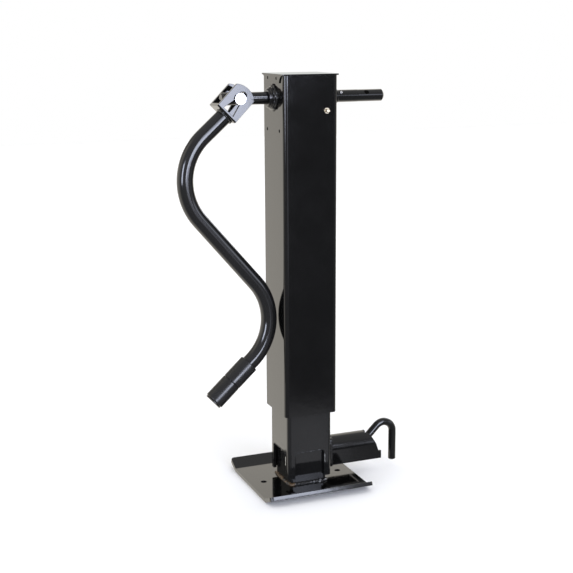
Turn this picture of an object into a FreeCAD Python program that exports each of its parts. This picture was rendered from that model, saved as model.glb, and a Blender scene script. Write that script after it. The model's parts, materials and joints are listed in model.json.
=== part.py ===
import FreeCAD, Part
import math
import os

# Side-wind trailer jack with a spring pinned drop leg, millimetres, +Z up.
# Origin: on the foot plate's underside, below the lead screw. +X: along the drive shaft, away from the crank.
# -Y: the face that carries the grease fitting.

Vec = FreeCAD.Vector
X_AXIS = Vec(1, 0, 0)
Y_AXIS = Vec(0, 1, 0)
Z_AXIS = Vec(0, 0, 1)
ORIGIN = Vec(0, 0, 0)

# --- driving dimensions -------------------------------------------------------------------

# three square steel tubes that slide in one another
TUBE_WALL = 4.76
OUTER_SIDE = 88.9
OUTER_CORNER = 6.35
INNER_CORNER_EXTRA = 2.0  # the bores are rounder than the wall alone would leave them
PLATE_CORNER_EXTRA = 2.5
OUTER_BOTTOM = 126.2
OUTER_TOP = 661.7
RAM_SIDE = 76.2
RAM_CORNER = 6.0
RAM_BOTTOM = 17.4
RAM_TOP = 548.0
LEG_SIDE = 63.5
LEG_CORNER = 5.5
LEG_TOP = 515.0

# windows cut up into the ram's lower end
WINDOW_WIDTH = 50.8
WINDOW_TOP = 62.2
WINDOW_CORNER = 5.0

# lid of the outer tube
CAP_THICK = 2.2
CAP_CORNER = 2.0
CAP_OVERHANG = 1.8
CAP_FLAP_TOP_HALF = 40.0
CAP_FLAP_BOTTOM_HALF = 29.0
CAP_FLAP_DROP = 11.2
CAP_TAB_GAP = 0.2
CAP_TAB_HALF = 26.0
CAP_RIVET_Y = 17.6
CAP_RIVET_Z = 657.4
CAP_RIVET_SUNK = 0.7
RIVET_RADIUS = 2.4

# foot plate with its front and rear edges bent up
FOOT_LEFT = 89.3
FOOT_RIGHT = 88.2
FOOT_FLAT_FRONT = 68.3
FOOT_FLAT_REAR = 73.8
FOOT_THICK = 6.35
FOOT_FLANGE_ANGLE = 24.0
FOOT_FLANGE_REACH = 25.6
FOOT_FLANGE_CORNER = 5.5
FOOT_BEND_RADIUS = 4.0
FOOT_HOLE_RADIUS = 4.75
FOOT_HOLE_X = 66.0

# drive shaft across the head
SHAFT_Z = 627.5
SHAFT_RADIUS = 9.525
SHAFT_LEFT = -129.0
SHAFT_RIGHT = 140.3
SHAFT_CHAMFER = 2.0
SHAFT_RUNNING_GAP = 0.05
SHAFT_SEAT_X = 96.3
SHAFT_SEAT_RADIUS = 9.35
END_PIN_X = 66.6
END_PIN_RADIUS = 2.2
END_PIN_PROUD = 1.0
CROSS_HOLE_X = 110.4
CROSS_HOLE_RADIUS = 4.0
CROSS_HOLE_TILT = 38.0

# bushings welded into the head
BUSH_INNER_END = 39.3
LEFT_BUSH_FLANGE_RADIUS = 19.5
LEFT_BUSH_RADIUS = 16.0
LEFT_BUSH_LIP_RADIUS = 14.5
LEFT_BUSH_END = 55.5
LEFT_BUSH_STEP = 3.0
RIGHT_BUSH_RADIUS = 11.6
RIGHT_BUSH_END = 61.5
RIGHT_BUSH_FLARE = 1.5
BUSH_CHAMFER = 1.2

# bevel gears: the cones meet where the shaft's line crosses the screw's line
PINION_TEETH = 12
GEAR_TEETH = 24
GEAR_MODULE = 2.75
GEAR_FACE = 9.0
PRESSURE_ANGLE = 20.0
PROFILE_SHIFT = 0.3
TOOTH_BACKLASH = 0.35
GEAR_HUB_RADIUS = 20.0
GEAR_HUB_BOTTOM = 584.2
GEAR_WEB_BOTTOM = 600.0
GEAR_BORE_TOP = 611.0
PINION_HUB_RADIUS = 13.6
PINION_BACK_X = 38.9
PINION_PIN_X = 36.5
PINION_PIN_RADIUS = 1.6

# collar that keeps the shaft from sliding out
COLLAR_RADIUS = 13.0
COLLAR_WIDTH = 7.0
COLLAR_PIN_RADIUS = 1.8

# lead screw, its thrust bearing and the plate that carries them
PLATE_BOTTOM = 573.8
PLATE_TOP = 583.4
PLATE_GAP = 0.35
PLATE_PIN_Y = 25.2
PLATE_PIN_RADIUS = 2.6
PLATE_PIN_DEPTH = 8.0
PLATE_PIN_END_GAP = 0.5
PLATE_PIN_SUNK = 1.2
SCREW_RADIUS = 14.2875
SCREW_CORE_RADIUS = 11.6
SCREW_PITCH = 5.08
SCREW_BOTTOM = 180.0
SCREW_THREAD_TOP = 546.0
SCREW_NECK_RADIUS = 12.7
SCREW_COLLAR_RADIUS = 24.0
SCREW_COLLAR_BOTTOM = 553.0
SCREW_COLLAR_TOP = 561.8
GEAR_PIN_Z = 591.0
GEAR_PIN_RADIUS = 3.0
RACE_THICK = 4.0
RACE_INNER_RADIUS = 14.6
RACE_OUTER_RADIUS = 26.0
BALL_RADIUS = 3.1
BALL_CIRCLE = 20.3
BALL_COUNT = 14
GROOVE_RADIUS = 3.2
CAGE_THICK = 1.4
STOP_WASHER_RADIUS = 20.0
STOP_WASHER_THICK = 4.0
STOP_PIN_RADIUS = 2.4

# nut that the screw drives, held under the ram's head plate
HEAD_PLATE_BOTTOM = 532.0
HEAD_PLATE_TOP = 544.0
HEAD_PLATE_GAP = 0.2
NUT_BARREL_RADIUS = 20.0
NUT_FLANGE_RADIUS = 29.0
NUT_FLANGE_THICK = 8.0
NUT_BOTTOM = 508.0
NUT_GAP = 0.09

# spring pin that locks the drop leg, and its hood on the ram's side
PIN_Z = 50.0
PIN_RADIUS = 6.35
PIN_NOSE_X = 32.0
PIN_BEND_X = 112.3
PIN_RISE = 25.8
PIN_CROOK_RADIUS = 17.5
PIN_TAIL_Z = 12.5
LEG_HOLE_RADIUS = 7.25
LEG_HOLE_PITCH = 38.1
LEG_HOLE_COUNT = 10
HOOD_RADIUS = 20.0
HOOD_SHEET = 3.2
HOOD_SKIRT_Z = 25.0
HOOD_END_X = 137.8
HOOD_LIP_X = 132.8
HOOD_LIP_Z = 38.2
HOOD_SLANT_X = 128.3
HOOD_SLANT_Z = 51.9
HOOD_SHOULDER_X = 120.0
HOOD_SHOULDER_Z = 66.4
HOOD_CREST_X = 115.2
HOOD_NOTCH_X = 113.8
HOOD_NOTCH_HALF = 7.2
HOOD_PLATE_THICK = 5.0
HOOD_PLATE_HALF = 33.0
HOOD_PLATE_BOTTOM = 27.0
HOOD_PLATE_TOP = 76.0
HOOD_PLATE_CORNER = 5.0
GUIDE_RADIUS = 11.0
GUIDE_END_X = 47.0
SPRING_STOP_X = 96.0
SPRING_STOP_THICK = 3.0
SPRING_STOP_GAP = 0.6
SPRING_RADIUS = 10.0
SPRING_WIRE_RADIUS = 1.25
SPRING_TURNS = 6
PIN_WASHER_X = 64.0
PIN_WASHER_THICK = 2.0
PIN_WASHER_RADIUS = 15.0
WASHER_PIN_RADIUS = 1.6
WASHER_PIN_LENGTH = 22.0

# folding crank: everything below is laid out in the upright plane, then leaned about the shaft
CRANK_LEAN = -2.0
YOKE_PIN_X = -105.0
YOKE_PIN_RADIUS = 5.55
YOKE_PIN_HEAD_RADIUS = 9.0
YOKE_PIN_HEAD_THICK = 2.6
YOKE_PIN_BOSS_RADIUS = 6.25
YOKE_PIN_BOSS_THICK = 1.2
YOKE_PIN_PLAY = 0.3
YOKE_PIN_TAIL = 4.2
YOKE_WASHER_THICK = 1.5
YOKE_WASHER_GAP = 0.1
YOKE_CLIP_START = 1.9
YOKE_CLIP_THICK = 1.2
YOKE_CLIP_REACH = 3.0
YOKE_CLIP_DEPTH = 0.9
YOKE_ANGLE = 225.0
YOKE_HALF_WIDTH = 19.15
YOKE_TIP = 20.0
YOKE_TIP_SAGITTA = 7.0
YOKE_BASE_INNER = 26.5
YOKE_SHEET = 5.0
YOKE_HALF_GAP = 15.0
YOKE_BEND_RADIUS = 2.5
KEYHOLE_RADIUS = 6.8
KEYHOLE_CENTRE = 5.8
KEYHOLE_NECK_HALF = 6.0
KEYHOLE_NECK_END = 9.0
KEYHOLE_BASE_HALF = 10.0
ARM_RADIUS = 12.7
ARM_WALL = 2.6
ARM_OFFSET = 4.3
ARM_HEADING = 221.1
ARM_FIRST_LENGTH = 45.2
ARM_FIRST_RADIUS = 90.5
ARM_FIRST_TURN = 89.2
ARM_MIDDLE_LENGTH = 135.5
ARM_LAST_RADIUS = 88.0
ARM_LAST_TURN = -88.3
ARM_TAIL_LENGTH = 89.0
GRIP_RADIUS = 15.7
GRIP_LENGTH = 81.0
GRIP_GAP = 0.08
GRIP_GROOVE = 1.0
GRIP_ROUNDING = 1.6
GRIP_CAP_RADIUS = 14.0
GRIP_CAP_THICK = 2.2
GRIP_CAP_PLUG = 9.0

# grease fitting on the front face of the head
GREASE_X = 24.9
GREASE_Z = 608.8
GREASE_THREAD_RADIUS = 3.0
GREASE_HEX_ACROSS = 8.0
GREASE_HEX_THICK = 3.5
GREASE_STEM_RADIUS = 2.2
GREASE_BALL_RADIUS = 3.1
GREASE_LENGTH = 9.0
GREASE_TIP_FLAT = 0.8

# --- values that follow from the dimensions above -------------------------------------------

PLATE_PIN_Z = (PLATE_BOTTOM + PLATE_TOP) / 2
OUTER_HALF = OUTER_SIDE / 2
RAM_HALF = RAM_SIDE / 2
LEG_HALF = LEG_SIDE / 2
OUTER_BORE_HALF = OUTER_HALF - TUBE_WALL
RAM_BORE_HALF = RAM_HALF - TUBE_WALL
APEX = Vec(0, 0, SHAFT_Z)
YOKE_PIN = Vec(YOKE_PIN_X, 0, SHAFT_Z)
YOKE_BASE_OUTER = YOKE_BASE_INNER + YOKE_SHEET
YOKE_HALF_OUTER = YOKE_HALF_GAP + YOKE_SHEET
GEAR_PITCH_RADIUS = GEAR_MODULE * GEAR_TEETH / 2
PINION_PITCH_RADIUS = GEAR_MODULE * PINION_TEETH / 2
RACE_UPPER_BOTTOM = PLATE_BOTTOM - RACE_THICK
BALL_PLANE = (RACE_UPPER_BOTTOM + SCREW_COLLAR_TOP + RACE_THICK) / 2
CUT = 1.0  # how far a cutting tool reaches past the face it cuts
FAR = 400.0  # longer than anything it has to cut


# --- helpers --------------------------------------------------------------------------------

def cylinder(radius, start, end):
    """A round bar from one point to another."""
    line = end - start
    return Part.makeCylinder(radius, line.Length, start, line)


def along_x(radius, x0, x1, y=0.0, z=SHAFT_Z):
    return cylinder(radius, Vec(x0, y, z), Vec(x1, y, z))


def along_y(radius, x, y0, y1, z):
    return cylinder(radius, Vec(x, y0, z), Vec(x, y1, z))


def along_z(radius, z0, z1, x=0.0, y=0.0):
    return cylinder(radius, Vec(x, y, z0), Vec(x, y, z1))


def box(x0, x1, y0, y1, z0, z1):
    return Part.makeBox(x1 - x0, y1 - y0, z1 - z0, Vec(x0, y0, z0))


def vertical_edges(solid):
    return [e for e in solid.Edges if e.BoundBox.XLength < 1e-6 and e.BoundBox.YLength < 1e-6]


def rounded_block(half, corner, z0, z1):
    """A square prism about the Z axis with rounded upright edges."""
    block = box(-half, half, -half, half, z0, z1)
    return block.makeFillet(corner, vertical_edges(block))


def square_tube(side, corner, z0, z1):
    outside = rounded_block(side / 2, corner, z0, z1)
    inside = rounded_block(side / 2 - TUBE_WALL, corner - TUBE_WALL + INNER_CORNER_EXTRA, z0 - CUT, z1 + CUT)
    return outside.cut(inside)


def prism(points, sweep):
    """A flat outline pushed along a vector. Items are points, or (middle, end) for an arc."""
    edges = []
    here = points[0]
    for item in points[1:] + [points[0]]:
        if isinstance(item, tuple):
            middle, end = item
            edges.append(Part.Arc(here, middle, end).toShape())
            here = end
        elif (item - here).Length > 1e-9:
            edges.append(Part.makeLine(here, item))
            here = item
    return Part.Face(Part.Wire(edges)).extrude(sweep)


def turned(profile, axis):
    """A closed (radius, height) outline turned about X or Z through the shaft's line or the origin."""
    if axis == "x":
        points = [Vec(h, 0, SHAFT_Z + r) for r, h in profile]
        return Part.Face(Part.makePolygon(points + points[:1])).revolve(APEX, X_AXIS, 360)
    points = [Vec(r, 0, h) for r, h in profile]
    return Part.Face(Part.makePolygon(points + points[:1])).revolve(ORIGIN, Z_AXIS, 360)


def fused(first, *others):
    return first.multiFuse(list(others)).removeSplitter()


def mirrored_x(shape):
    return shape.mirror(ORIGIN, X_AXIS)


def lean(shape):
    """Lean a crank part about the shaft's line."""
    shape.rotate(APEX, X_AXIS, CRANK_LEAN)
    return shape


# --- housing --------------------------------------------------------------------------------

def outer_tube():
    tube = square_tube(OUTER_SIDE, OUTER_CORNER, OUTER_BOTTOM, OUTER_TOP)
    tools = [
        along_x(LEFT_BUSH_RADIUS, -OUTER_HALF - CUT, -OUTER_BORE_HALF + CUT),
        along_x(RIGHT_BUSH_RADIUS, OUTER_BORE_HALF - CUT, OUTER_HALF + CUT),
        along_y(GREASE_THREAD_RADIUS, GREASE_X, -OUTER_HALF - CUT, -OUTER_BORE_HALF + CUT, GREASE_Z),
    ]
    tools += side_pins(PLATE_PIN_RADIUS, PLATE_PIN_Y, PLATE_PIN_Z, CUT, TUBE_WALL + CUT)
    tools += side_pins(RIVET_RADIUS, CAP_RIVET_Y, CAP_RIVET_Z, CUT, TUBE_WALL + CUT, (-1,))
    return tube.cut(tools)


def side_pins(radius, y, z, proud, depth, sides=(-1, 1)):
    """Short bars through the left and right walls, at plus and minus y."""
    bars = []
    for side in sides:
        for row in (-1, 1):
            outside = side * (OUTER_HALF + proud)
            inside = side * (OUTER_HALF - depth)
            bars.append(along_x(radius, outside, inside, row * y, z))
    return bars


def cap_flap():
    """The lid's flap over the left wall: wide at the bend, narrower below, with hollow sides."""
    x = -OUTER_HALF - CAP_OVERHANG
    low = OUTER_TOP - CAP_FLAP_DROP
    bend = OUTER_TOP + CAP_THICK / 2
    hollow_half = (CAP_FLAP_TOP_HALF + 2 * CAP_FLAP_BOTTOM_HALF) / 3
    hollow_z = OUTER_TOP - CAP_FLAP_DROP / 3
    outline = [
        Vec(x, -CAP_FLAP_TOP_HALF, bend),
        Vec(x, -CAP_FLAP_TOP_HALF, OUTER_TOP),
        (Vec(x, -hollow_half, hollow_z), Vec(x, -CAP_FLAP_BOTTOM_HALF, low)),
        Vec(x, CAP_FLAP_BOTTOM_HALF, low),
        (Vec(x, hollow_half, hollow_z), Vec(x, CAP_FLAP_TOP_HALF, OUTER_TOP)),
        Vec(x, CAP_FLAP_TOP_HALF, bend),
    ]
    return prism(outline, Vec(CAP_OVERHANG, 0, 0))


def top_cap():
    """A flat lid, riveted by its flap on the left and tucked behind the wall by a tab on the right."""
    reach = OUTER_HALF + CAP_OVERHANG
    lid = box(-reach, reach, -OUTER_HALF, OUTER_HALF, OUTER_TOP, OUTER_TOP + CAP_THICK)
    lid = lid.makeFillet(CAP_CORNER, vertical_edges(lid))
    tab_outside = OUTER_BORE_HALF - CAP_TAB_GAP
    tab_inside = tab_outside - CAP_OVERHANG
    low = OUTER_TOP - CAP_FLAP_DROP
    tab = box(tab_inside, tab_outside, -CAP_TAB_HALF, CAP_TAB_HALF, low, OUTER_TOP + CUT)
    lid = fused(lid, cap_flap(), tab)
    return lid.cut(side_pins(RIVET_RADIUS, CAP_RIVET_Y, CAP_RIVET_Z, CAP_OVERHANG + CUT, TUBE_WALL, (-1,)))


def cap_rivets():
    proud = CAP_OVERHANG - CAP_RIVET_SUNK
    return Part.Compound(side_pins(RIVET_RADIUS, CAP_RIVET_Y, CAP_RIVET_Z, proud, TUBE_WALL, (-1,)))


def shaft_bushing_left():
    bore = SHAFT_RADIUS + SHAFT_RUNNING_GAP
    flange = OUTER_HALF + LEFT_BUSH_STEP
    lip = LEFT_BUSH_END - LEFT_BUSH_STEP
    outline = [
        (bore, -BUSH_INNER_END),
        (LEFT_BUSH_RADIUS, -BUSH_INNER_END),
        (LEFT_BUSH_RADIUS, -OUTER_HALF),
        (LEFT_BUSH_FLANGE_RADIUS, -OUTER_HALF),
        (LEFT_BUSH_RADIUS + 1.0, -flange),
        (LEFT_BUSH_RADIUS, -flange),
        (LEFT_BUSH_RADIUS, -lip + 1.0),
        (LEFT_BUSH_LIP_RADIUS, -lip),
        (LEFT_BUSH_LIP_RADIUS, -LEFT_BUSH_END + BUSH_CHAMFER),
        (LEFT_BUSH_LIP_RADIUS - BUSH_CHAMFER, -LEFT_BUSH_END),
        (bore, -LEFT_BUSH_END),
    ]
    return turned(outline, "x")


def shaft_bushing_right():
    bore = SHAFT_RADIUS + SHAFT_RUNNING_GAP
    outline = [
        (bore, BUSH_INNER_END),
        (RIGHT_BUSH_RADIUS, BUSH_INNER_END),
        (RIGHT_BUSH_RADIUS, OUTER_HALF),
        (RIGHT_BUSH_RADIUS + RIGHT_BUSH_FLARE, OUTER_HALF),
        (RIGHT_BUSH_RADIUS, OUTER_HALF + RIGHT_BUSH_FLARE),
        (RIGHT_BUSH_RADIUS, RIGHT_BUSH_END - BUSH_CHAMFER),
        (RIGHT_BUSH_RADIUS - BUSH_CHAMFER, RIGHT_BUSH_END),
        (bore, RIGHT_BUSH_END),
    ]
    return turned(outline, "x")


def bearing_plate():
    half = OUTER_BORE_HALF - PLATE_GAP
    plate = rounded_block(half, OUTER_CORNER - TUBE_WALL + PLATE_CORNER_EXTRA, PLATE_BOTTOM, PLATE_TOP)
    tools = [along_z(SCREW_NECK_RADIUS + 0.06, PLATE_BOTTOM - CUT, PLATE_TOP + CUT)]
    tools += side_pins(PLATE_PIN_RADIUS, PLATE_PIN_Y, PLATE_PIN_Z, 0.0, TUBE_WALL + PLATE_PIN_DEPTH)
    return plate.cut(tools)


def bearing_plate_pins():
    """Four pins, sunk a little below the tube's faces."""
    depth = TUBE_WALL + PLATE_PIN_DEPTH - PLATE_PIN_END_GAP
    return Part.Compound(side_pins(PLATE_PIN_RADIUS, PLATE_PIN_Y, PLATE_PIN_Z, -PLATE_PIN_SUNK, depth))


def grease_fitting():
    face = -OUTER_HALF
    thread = along_y(GREASE_THREAD_RADIUS, GREASE_X, face + TUBE_WALL, face, GREASE_Z)
    hexagon = []
    for k in range(6):
        angle = math.radians(60 * k)
        reach = GREASE_HEX_ACROSS / math.sqrt(3)
        hexagon.append(Vec(GREASE_X + reach * math.cos(angle), face, GREASE_Z + reach * math.sin(angle)))
    nut = prism(hexagon, Vec(0, -GREASE_HEX_THICK, 0))
    end = face - GREASE_LENGTH
    stem = along_y(GREASE_STEM_RADIUS, GREASE_X, face, end + CUT, GREASE_Z)
    ball = Part.makeSphere(GREASE_BALL_RADIUS, Vec(GREASE_X, end + GREASE_BALL_RADIUS, GREASE_Z))
    tip = along_y(GREASE_HEX_ACROSS, GREASE_X, end - CUT, end + GREASE_TIP_FLAT, GREASE_Z)
    return fused(thread, nut, stem, ball).cut(tip)


# --- bevel drive ------------------------------------------------------------------------------

def involute(angle):
    return math.tan(angle) - angle


def bevel_tooth(pitch_radius, pitch_angle, teeth, shift):
    """One straight bevel tooth about +Z with the cone's tip at the origin and the tooth over +X.

    The flank is the involute of the spur gear that the back cone unrolls into, and every
    section is the outer one shrunk towards the cone's tip.
    """
    sine, cosine = math.sin(pitch_angle), math.cos(pitch_angle)
    cone = pitch_radius / sine
    back = cone * math.tan(pitch_angle)
    pressure = math.radians(PRESSURE_ANGLE)
    base = back * math.cos(pressure)
    tip = back + GEAR_MODULE * (1 + shift)
    root = back - GEAR_MODULE * (1.25 - shift)
    unrolled_teeth = teeth / cosine
    half_angle = math.pi / (2 * unrolled_teeth)
    half_angle += 2 * shift * math.tan(pressure) / unrolled_teeth
    half_angle -= TOOTH_BACKLASH / (4 * back)
    start = max(base, root)
    steps = 4
    flank = [(root - 1.2, half_angle + involute(pressure) + 0.01)]
    for k in range(steps + 1):
        radius = start + (tip - start) * k / steps
        roll = math.acos(min(1.0, base / radius))
        flank.append((radius, half_angle + involute(pressure) - involute(roll)))
    outline = flank + [(r, -a) for r, a in reversed(flank)]
    sections = []
    for scale in (1.0, (cone - GEAR_FACE) / cone):
        points = []
        for radius, angle in outline:
            rise = radius * math.cos(angle) - back
            x = cone * sine + rise * cosine
            z = cone * cosine - rise * sine
            points.append(Vec(x, radius * math.sin(angle), z) * scale)
        sections.append(Part.makePolygon(points + points[:1]))
    return Part.makeLoft(sections, True, True)


def root_corner(pitch_radius, pitch_angle, shift, scale):
    """Radius and height of the root cone at the tooth's outer (scale 1) or inner end."""
    drop = GEAR_MODULE * (1.25 - shift)
    radius = pitch_radius - drop * math.cos(pitch_angle)
    height = pitch_radius / math.tan(pitch_angle) + drop * math.sin(pitch_angle)
    return radius * scale, height * scale


def bevel_gear(pitch_radius, mate_radius, teeth, shift, blank_end, first_tooth):
    """A bevel gear about +Z with its cone's tip at the origin. blank_end closes the outline."""
    pitch_angle = math.atan2(pitch_radius, mate_radius)
    cone = pitch_radius / math.sin(pitch_angle)
    inner = root_corner(pitch_radius, pitch_angle, shift, (cone - GEAR_FACE) / cone)
    outer = root_corner(pitch_radius, pitch_angle, shift, 1.0)
    outline = [inner, outer] + blank_end
    points = [Vec(r, 0, h) for r, h in outline]
    gear = Part.Face(Part.makePolygon(points + points[:1])).revolve(ORIGIN, Z_AXIS, 360)
    tooth = bevel_tooth(pitch_radius, pitch_angle, teeth, shift)
    copies = []
    for k in range(teeth):
        copy = tooth.copy()
        copy.rotate(ORIGIN, Z_AXIS, first_tooth + 360.0 * k / teeth)
        copies.append(copy)
    return gear.multiFuse(copies)


def screw_gear():
    web = SHAFT_Z - GEAR_WEB_BOTTOM
    hub_end = SHAFT_Z - GEAR_HUB_BOTTOM
    bore_start = SHAFT_Z - GEAR_BORE_TOP
    blank = [
        (GEAR_PITCH_RADIUS - 4.0, web),
        (GEAR_HUB_RADIUS, web),
        (GEAR_HUB_RADIUS, hub_end),
        (SCREW_NECK_RADIUS, hub_end),
        (SCREW_NECK_RADIUS, bore_start),
    ]
    half_pitch = 180.0 / GEAR_TEETH
    gear = bevel_gear(GEAR_PITCH_RADIUS, PINION_PITCH_RADIUS, GEAR_TEETH, -PROFILE_SHIFT, blank, half_pitch)
    gear.rotate(ORIGIN, X_AXIS, 180)
    gear.translate(APEX)
    return gear.cut(along_y(GEAR_PIN_RADIUS, 0, -GEAR_HUB_RADIUS - CUT, GEAR_HUB_RADIUS + CUT, GEAR_PIN_Z))


def gear_pin():
    return along_y(GEAR_PIN_RADIUS, 0, -GEAR_HUB_RADIUS + 0.3, GEAR_HUB_RADIUS - 0.3, GEAR_PIN_Z)


def drive_pinion():
    inner_height = root_corner(PINION_PITCH_RADIUS, math.atan2(1, 2), PROFILE_SHIFT, 1.0)[1] - GEAR_FACE
    blank = [
        (PINION_HUB_RADIUS, PINION_BACK_X),
        (SHAFT_RADIUS, PINION_BACK_X),
        (SHAFT_RADIUS, inner_height),
    ]
    gear = bevel_gear(PINION_PITCH_RADIUS, GEAR_PITCH_RADIUS, PINION_TEETH, PROFILE_SHIFT, blank, 0.0)
    gear.rotate(ORIGIN, Y_AXIS, 90)
    gear.translate(APEX)
    return gear.cut(along_y(PINION_PIN_RADIUS, PINION_PIN_X, -FAR, FAR, SHAFT_Z))


def pinion_pin():
    return along_y(PINION_PIN_RADIUS, PINION_PIN_X, -PINION_HUB_RADIUS, PINION_HUB_RADIUS, SHAFT_Z)


def across_shaft(radius, x, half_length):
    """A bar straight through the shaft, along the cross hole's direction."""
    tilt = math.radians(CROSS_HOLE_TILT)
    reach = Vec(0, -math.cos(tilt), math.sin(tilt)) * half_length
    centre = Vec(x, 0, SHAFT_Z)
    return cylinder(radius, centre - reach, centre + reach)


def shaft_end_pin():
    return across_shaft(END_PIN_RADIUS, END_PIN_X, SHAFT_RADIUS + END_PIN_PROUD)


def cross_shaft():
    outline = [
        (0, SHAFT_LEFT),
        (SHAFT_RADIUS - SHAFT_CHAMFER, SHAFT_LEFT),
        (SHAFT_RADIUS, SHAFT_LEFT + SHAFT_CHAMFER),
        (SHAFT_RADIUS, SHAFT_SEAT_X),
        (SHAFT_SEAT_RADIUS, SHAFT_SEAT_X),
        (SHAFT_SEAT_RADIUS, SHAFT_RIGHT - SHAFT_CHAMFER),
        (SHAFT_SEAT_RADIUS - SHAFT_CHAMFER, SHAFT_RIGHT),
        (0, SHAFT_RIGHT),
    ]
    shaft = turned(outline, "x")
    tools = [
        across_shaft(CROSS_HOLE_RADIUS, CROSS_HOLE_X, SHAFT_RADIUS + CUT),
        across_shaft(END_PIN_RADIUS, END_PIN_X, SHAFT_RADIUS + CUT),
        along_y(PINION_PIN_RADIUS, PINION_PIN_X, -FAR, FAR, SHAFT_Z),
        along_y(COLLAR_PIN_RADIUS, collar_middle(), -FAR, FAR, SHAFT_Z),
        lean(along_y(YOKE_PIN_RADIUS + 0.05, YOKE_PIN_X, -FAR, FAR, SHAFT_Z)),
    ]
    return shaft.cut(tools)


def collar_middle():
    return -PINION_BACK_X + COLLAR_WIDTH / 2


def shaft_collar():
    collar = along_x(COLLAR_RADIUS, -PINION_BACK_X, -PINION_BACK_X + COLLAR_WIDTH)
    bore = along_x(SHAFT_RADIUS, -PINION_BACK_X - CUT, -PINION_BACK_X + COLLAR_WIDTH + CUT)
    pin = along_y(COLLAR_PIN_RADIUS, collar_middle(), -FAR, FAR, SHAFT_Z)
    return collar.cut([bore, pin])


def collar_pin():
    return along_y(COLLAR_PIN_RADIUS, collar_middle(), -COLLAR_RADIUS, COLLAR_RADIUS, SHAFT_Z)


# --- lead screw and thrust bearing ------------------------------------------------------------

def lead_screw():
    crest = SCREW_PITCH * 0.37
    flank = SCREW_PITCH * 0.13
    outline = [(0, SCREW_BOTTOM - 12.0), (SCREW_CORE_RADIUS, SCREW_BOTTOM - 12.0)]
    ridges = int((SCREW_THREAD_TOP - SCREW_BOTTOM) / SCREW_PITCH)
    for k in range(ridges):
        foot = SCREW_BOTTOM + k * SCREW_PITCH
        outline.append((SCREW_CORE_RADIUS, foot))
        outline.append((SCREW_RADIUS, foot + flank))
        outline.append((SCREW_RADIUS, foot + flank + crest))
        outline.append((SCREW_CORE_RADIUS, foot + 2 * flank + crest))
    outline += [
        (SCREW_CORE_RADIUS, SCREW_COLLAR_BOTTOM),
        (SCREW_COLLAR_RADIUS, SCREW_COLLAR_BOTTOM),
        (SCREW_COLLAR_RADIUS, SCREW_COLLAR_TOP),
        (SCREW_NECK_RADIUS, SCREW_COLLAR_TOP),
        (SCREW_NECK_RADIUS, GEAR_BORE_TOP),
        (0, GEAR_BORE_TOP),
    ]
    tools = [
        along_y(GEAR_PIN_RADIUS, 0, -FAR, FAR, GEAR_PIN_Z),
        along_y(STOP_PIN_RADIUS, 0, -FAR, FAR, stop_pin_z()),
    ]
    return turned(outline, "z").cut(tools)


def stop_pin_z():
    return SCREW_BOTTOM - STOP_WASHER_THICK - STOP_PIN_RADIUS - 1.0


def screw_stop_washer():
    top = SCREW_BOTTOM - 0.2
    ring = along_z(STOP_WASHER_RADIUS, top - STOP_WASHER_THICK, top)
    return ring.cut(along_z(SCREW_CORE_RADIUS + 0.1, top - STOP_WASHER_THICK - CUT, top + CUT))


def stop_washer_pin():
    reach = STOP_WASHER_RADIUS - 4.0
    return along_y(STOP_PIN_RADIUS, 0, -reach, reach, stop_pin_z())


def race(z0, z1):
    ring = along_z(RACE_OUTER_RADIUS, z0, z1).cut(along_z(RACE_INNER_RADIUS, z0 - CUT, z1 + CUT))
    groove = Part.makeTorus(BALL_CIRCLE, GROOVE_RADIUS, Vec(0, 0, BALL_PLANE), Z_AXIS)
    return ring.cut(groove)


def thrust_race_upper():
    return race(RACE_UPPER_BOTTOM, PLATE_BOTTOM)


def thrust_race_lower():
    return race(SCREW_COLLAR_TOP, SCREW_COLLAR_TOP + RACE_THICK)


def ball_centres():
    for k in range(BALL_COUNT):
        angle = 2 * math.pi * k / BALL_COUNT
        yield Vec(BALL_CIRCLE * math.cos(angle), BALL_CIRCLE * math.sin(angle), BALL_PLANE)


def thrust_balls():
    return Part.Compound([Part.makeSphere(BALL_RADIUS, centre) for centre in ball_centres()])


def thrust_ball_cage():
    z0, z1 = BALL_PLANE - CAGE_THICK / 2, BALL_PLANE + CAGE_THICK / 2
    ring = along_z(RACE_OUTER_RADIUS - 0.8, z0, z1)
    tools = [along_z(RACE_INNER_RADIUS + 0.8, z0 - CUT, z1 + CUT)]
    tools += [along_z(BALL_RADIUS + 0.15, z0 - CUT, z1 + CUT, c.x, c.y) for c in ball_centres()]
    return ring.cut(tools)


# --- ram --------------------------------------------------------------------------------------

def window(half, z_top):
    """The outline of a ram window, open at the bottom, in the XZ plane at the given half width."""
    bottom = RAM_BOTTOM - CUT
    r = WINDOW_CORNER
    bend = r * (1 - math.sqrt(0.5))
    return [
        Vec(-half, 0, bottom),
        Vec(-half, 0, z_top - r),
        (Vec(-half + bend, 0, z_top - bend), Vec(-half + r, 0, z_top)),
        Vec(half - r, 0, z_top),
        (Vec(half - bend, 0, z_top - bend), Vec(half, 0, z_top - r)),
        Vec(half, 0, bottom),
    ]


def ram_tube():
    tube = square_tube(RAM_SIDE, RAM_CORNER, RAM_BOTTOM, RAM_TOP)
    front_back = prism(window(WINDOW_WIDTH / 2, WINDOW_TOP), Vec(0, FAR, 0))
    front_back.translate(Vec(0, -FAR / 2, 0))
    left = prism(window(WINDOW_WIDTH / 2, WINDOW_TOP), Vec(0, FAR, 0))
    left.rotate(ORIGIN, Z_AXIS, 90)
    pin_hole = along_x(GUIDE_RADIUS, RAM_BORE_HALF - CUT, RAM_HALF + CUT, 0, PIN_Z)
    return tube.cut([front_back, left, pin_hole])


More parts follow.
